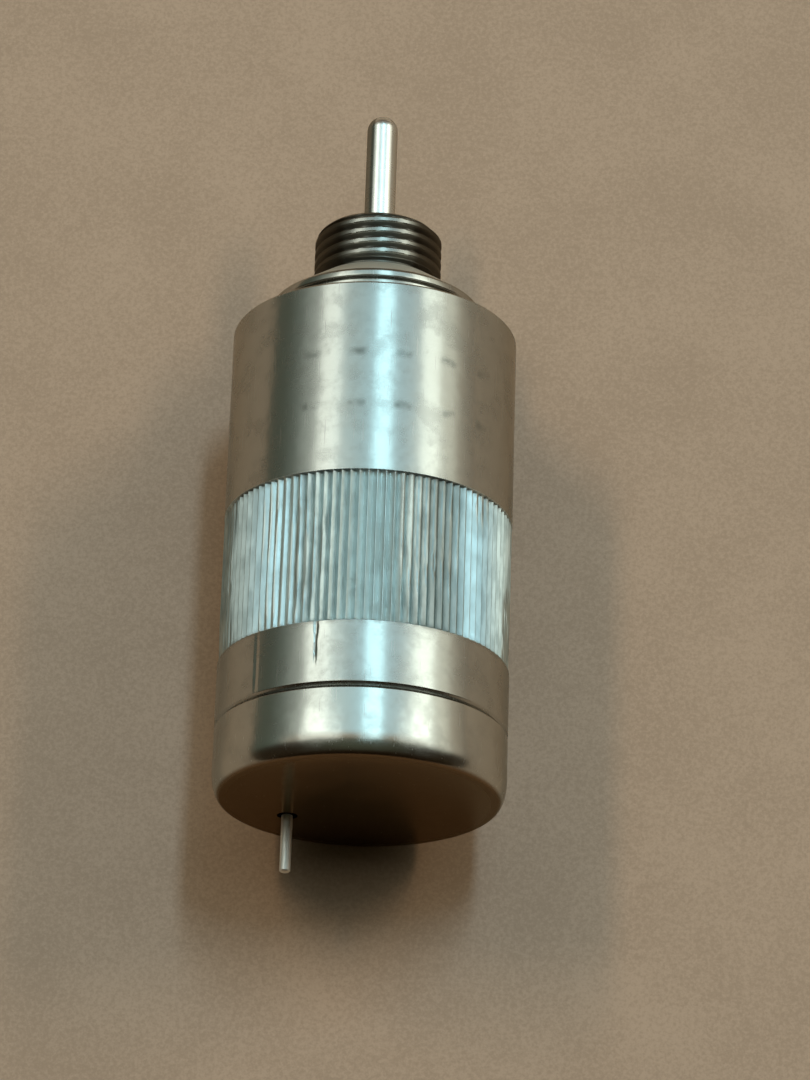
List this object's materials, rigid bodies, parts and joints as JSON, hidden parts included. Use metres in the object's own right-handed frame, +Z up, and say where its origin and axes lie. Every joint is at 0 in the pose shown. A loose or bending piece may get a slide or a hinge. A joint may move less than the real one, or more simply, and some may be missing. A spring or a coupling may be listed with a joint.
{
  "type": "solenoid",
  "caption": "Round push-pin solenoid with a threaded nose, a knurled cylindrical body and one terminal pin at the back.",
  "frame": {"origin": "on the axis, in the gauge plane of the nose's seat cone, where the cone is 19.6 mm across", "axes": "+Y along the axis towards the push pin, +Z up and +X to the right with the solenoid lying on its side"},
  "size_m": [0.031, 0.0874, 0.031],
  "materials": {
    "body_steel": "turned steel with a thin bright plating, fine circular turning lines, handling marks and a worn knurl",
    "nose_steel": "turned and threaded steel, bright plated, a little duller than the body",
    "pin_steel": "ground steel, smooth",
    "terminal_tin": "tinned wire pin",
    "glass_bead": "dark fused bead, satin",
    "bush_bronze": "sintered bronze, slightly porous",
    "seal_rubber": "black nitrile rubber, matt",
    "plain_steel": "stamped steel",
    "tube_brass": "drawn brass tube",
    "core_iron": "soft iron, turned, dull plated",
    "spring_steel": "hard drawn spring steel",
    "bobbin_nylon": "natural glass filled nylon",
    "coil_copper": "enamelled copper wire in close turns",
    "wrap_tape": "woven insulating tape",
    "fibre": "red-brown vulcanised fibre",
    "lead_red": "sleeved lead, red",
    "lead_black": "sleeved lead, black"
  },
  "bodies": {
    "housing": {"housing_shell": "body_steel", "end_cap": "body_steel", "nose_fitting": "nose_steel", "front_guide_bush": "bush_bronze", "nose_pin_seal": "seal_rubber", "seal_retainer": "plain_steel", "guide_tube": "tube_brass", "stop_washer": "seal_rubber", "return_spring": "spring_steel", "fixed_core": "core_iron", "bobbin": "bobbin_nylon", "coil_winding": "coil_copper", "winding_wrap": "wrap_tape", "front_insulator": "fibre", "rear_insulator": "fibre", "disc_spring": "spring_steel", "cap_seal_ring": "seal_rubber", "terminal_pin": "terminal_tin", "terminal_insulator": "glass_bead", "live_lead": "lead_red", "earth_lead": "lead_black"},
    "plunger": {"armature": "core_iron", "push_pin": "pin_steel", "pin_clip": "spring_steel"}
  },
  "joints": [
    {"name": "plunger_slide", "type": "slide", "parent": "housing", "child": "plunger", "axis": [0, 1, 0], "range_m": [-0.004, 0], "stiffness_N_per_m": 500, "springref_m": 0.006, "deforming": ["return_spring"]}
  ]
}
